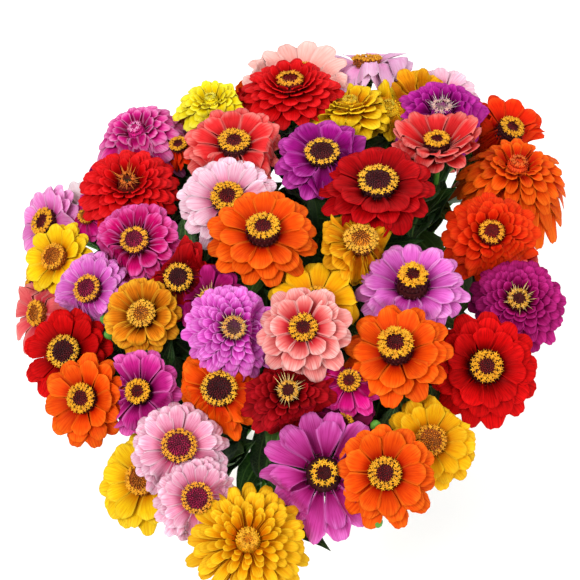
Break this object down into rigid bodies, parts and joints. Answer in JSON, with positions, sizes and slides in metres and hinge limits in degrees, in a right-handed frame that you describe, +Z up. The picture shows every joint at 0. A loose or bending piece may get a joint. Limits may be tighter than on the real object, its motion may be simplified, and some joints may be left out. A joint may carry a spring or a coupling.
{
  "type": "zinnia bouquet in a vase",
  "caption": "Domed bouquet of mixed zinnias, open and fully double, with stems and leaves standing in water in a plain white glazed vase; rests on the vase's flat foot.",
  "frame": {"origin": "centre of the vase's flat foot, on the surface that the bouquet stands on", "axes": "+Z up along the vase's axis, -Y towards the bouquet's front, +X to the right seen from the front"},
  "size_m": [0.4709, 0.5455, 0.4282],
  "materials": {
    "petals_salmon": "matt, finely veined salmon zinnia petals, darker towards the seed head",
    "petals_coral": "matt, finely veined coral zinnia petals, darker towards the seed head",
    "petals_pale_pink": "matt, finely veined pale pink zinnia petals, darker towards the seed head",
    "petals_lilac": "matt, finely veined lilac zinnia petals, darker towards the seed head",
    "petals_orchid": "matt, finely veined orchid zinnia petals, darker towards the seed head",
    "petals_magenta": "matt, finely veined magenta zinnia petals, darker towards the seed head",
    "petals_violet": "matt, finely veined violet zinnia petals, darker towards the seed head",
    "petals_purple": "matt, finely veined purple zinnia petals, darker towards the seed head",
    "petals_plum": "matt, finely veined plum zinnia petals, darker towards the seed head",
    "petals_red": "matt, finely veined red zinnia petals, darker towards the seed head",
    "petals_dark_red": "matt, finely veined dark red zinnia petals, darker towards the seed head",
    "petals_scarlet": "matt, finely veined scarlet zinnia petals, darker towards the seed head",
    "petals_orange": "matt, finely veined orange zinnia petals, darker towards the seed head",
    "petals_gold": "matt, finely veined gold zinnia petals, darker towards the seed head",
    "petals_yellow": "matt, finely veined yellow zinnia petals, darker towards the seed head",
    "petals_cream": "matt, finely veined cream zinnia petals, darker towards the seed head",
    "stems_and_leaves": "fresh dark green stems and leaves, faintly hairy, paler veins",
    "vase_glaze": "plain glossy white glaze",
    "water": "clear water"
  },
  "bodies": {
    "root": {"zinnia_yellow_bottom": "petals_yellow", "zinnia_orange_lower_right": "petals_orange", "zinnia_pink_lower": "petals_pale_pink", "zinnia_mauve_front": "petals_lilac", "zinnia_pink_light": "petals_pale_pink", "zinnia_orange_left": "petals_orange", "zinnia_salmon_centre": "petals_salmon", "zinnia_orange_right": "petals_orange", "zinnia_orchid_centre": "petals_orchid", "zinnia_violet_left": "petals_violet", "zinnia_red_right": "petals_red", "zinnia_deep_red": "petals_dark_red", "zinnia_orange_lower": "petals_orange", "zinnia_red_left": "petals_red", "zinnia_gold_left": "petals_gold", "zinnia_lilac_left": "petals_lilac", "zinnia_plum_right": "petals_plum", "zinnia_orange_centre": "petals_orange", "zinnia_lilac_right": "petals_lilac", "zinnia_magenta_left": "petals_magenta", "zinnia_purple_mid": "petals_purple", "zinnia_dark_red_left": "petals_dark_red", "zinnia_scarlet_right": "petals_scarlet", "zinnia_dark_red_centre": "petals_dark_red", "zinnia_pale_pink_centre": "petals_pale_pink", "zinnia_gold_centre": "petals_gold", "zinnia_purple_centre": "petals_purple", "zinnia_coral_top": "petals_coral", "zinnia_red_full_left": "petals_red", "zinnia_coral_cup": "petals_coral", "zinnia_orange_full_right": "petals_scarlet", "zinnia_yellow_left": "petals_yellow", "zinnia_lilac_edge": "petals_lilac", "zinnia_yellow_lower_left": "petals_yellow", "zinnia_yellow_right": "petals_yellow", "zinnia_purple_top": "petals_violet", "zinnia_red_top": "petals_red", "zinnia_yellow_side": "petals_yellow", "zinnia_scarlet_edge": "petals_scarlet", "zinnia_yellow_top": "petals_yellow", "zinnia_magenta_edge": "petals_magenta", "zinnia_yellow_back": "petals_yellow", "zinnia_gold_back": "petals_gold", "zinnia_salmon_back": "petals_salmon", "zinnia_lilac_back": "petals_lilac", "zinnia_pink_back": "petals_pale_pink", "zinnia_red_behind": "petals_red", "zinnia_yellow_mid": "petals_yellow", "zinnia_violet_mid": "petals_violet", "zinnia_coral_edge": "petals_coral", "zinnia_magenta_small": "petals_magenta", "zinnia_cream_edge": "petals_cream", "zinnia_purple_low": "petals_purple", "zinnia_scarlet_low": "petals_scarlet", "zinnias_back_left": "petals_magenta", "zinnias_back_middle": "petals_orange", "zinnias_back_right": "petals_coral", "leafy_stems": "stems_and_leaves", "vase": "vase_glaze", "water": "water"}
  },
  "joints": []
}
